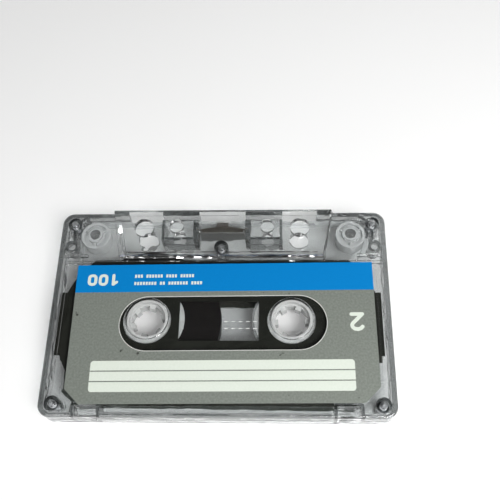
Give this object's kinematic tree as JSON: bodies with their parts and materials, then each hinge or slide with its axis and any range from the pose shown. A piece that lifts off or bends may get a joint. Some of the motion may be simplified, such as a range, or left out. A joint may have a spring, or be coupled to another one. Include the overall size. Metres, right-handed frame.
{
  "type": "audio cassette tape",
  "caption": "Compact audio cassette in a clear screwed shell, with labels, hubs, wound tape, rollers and pressure pad.",
  "frame": {"origin": "centre of the cassette's box, on its lowest plane, the outside of the raised head section of side A", "axes": "+X along the width, +Y towards the edge where the tape comes out, +Z out of side B"},
  "size_m": [0.1004, 0.0638, 0.012],
  "materials": {
    "clear_shell": "clear gloss",
    "steel": "zinc plated",
    "silver_paper": "metallic coated",
    "blue_print": "printed, semi-gloss",
    "pale_print": "printed, matt",
    "graphite_film": "graphite coated",
    "hub_plastic": "milky",
    "tape": "wound edge",
    "leader": "clear film",
    "roller_plastic": "milky",
    "felt": "felt",
    "bronze": "spring temper",
    "shield": "satin"
  },
  "bodies": {
    "shell": {"shell_half_b": "clear_shell", "shell_half_a": "clear_shell", "screws": "steel", "label_b": "silver_paper", "label_blue_b": "blue_print", "label_pale_b": "pale_print", "label_a": "silver_paper", "label_blue_a": "blue_print", "label_pale_a": "pale_print", "slip_sheet_b": "graphite_film", "slip_sheet_a": "graphite_film", "leader_run": "leader", "pad_spring": "bronze", "magnetic_shield": "shield"},
    "supply_reel": {"supply_hub": "hub_plastic", "supply_hub_clip": "hub_plastic", "tape_pack": "tape"},
    "takeup_reel": {"takeup_hub": "hub_plastic", "takeup_hub_clip": "hub_plastic", "leader_wrap": "leader"},
    "roller_left": {"guide_roller_left": "roller_plastic"},
    "roller_right": {"guide_roller_right": "roller_plastic"},
    "pad": {"pressure_pad": "felt"}
  },
  "joints": [
    {"name": "supply_spin", "type": "hinge", "parent": "shell", "child": "supply_reel", "pos_m": [-0.02125, -0.003, 0.006], "axis": [0, 0, 1], "continuous": true},
    {"name": "takeup_spin", "type": "hinge", "parent": "shell", "child": "takeup_reel", "pos_m": [0.02125, -0.003, 0.006], "axis": [0, 0, 1], "continuous": true},
    {"name": "roller_left_spin", "type": "hinge", "parent": "shell", "child": "roller_left", "pos_m": [-0.0396, 0.0248, 0.006], "axis": [0, 0, 1], "continuous": true},
    {"name": "roller_right_spin", "type": "hinge", "parent": "shell", "child": "roller_right", "pos_m": [0.0396, 0.0248, 0.006], "axis": [0, 0, 1], "continuous": true},
    {"name": "pad_press", "type": "slide", "parent": "shell", "child": "pad", "axis": [0, -1, 0], "range_m": [0, 0.0007], "stiffness_N_per_m": 150, "deforming": ["pad_spring"]}
  ],
  "couplings": [
    {"joint": "takeup_spin", "follows": "supply_spin", "ratio": 1.8718},
    {"joint": "roller_left_spin", "follows": "supply_spin", "ratio": 4.8333},
    {"joint": "roller_right_spin", "follows": "supply_spin", "ratio": 4.8333}
  ]
}
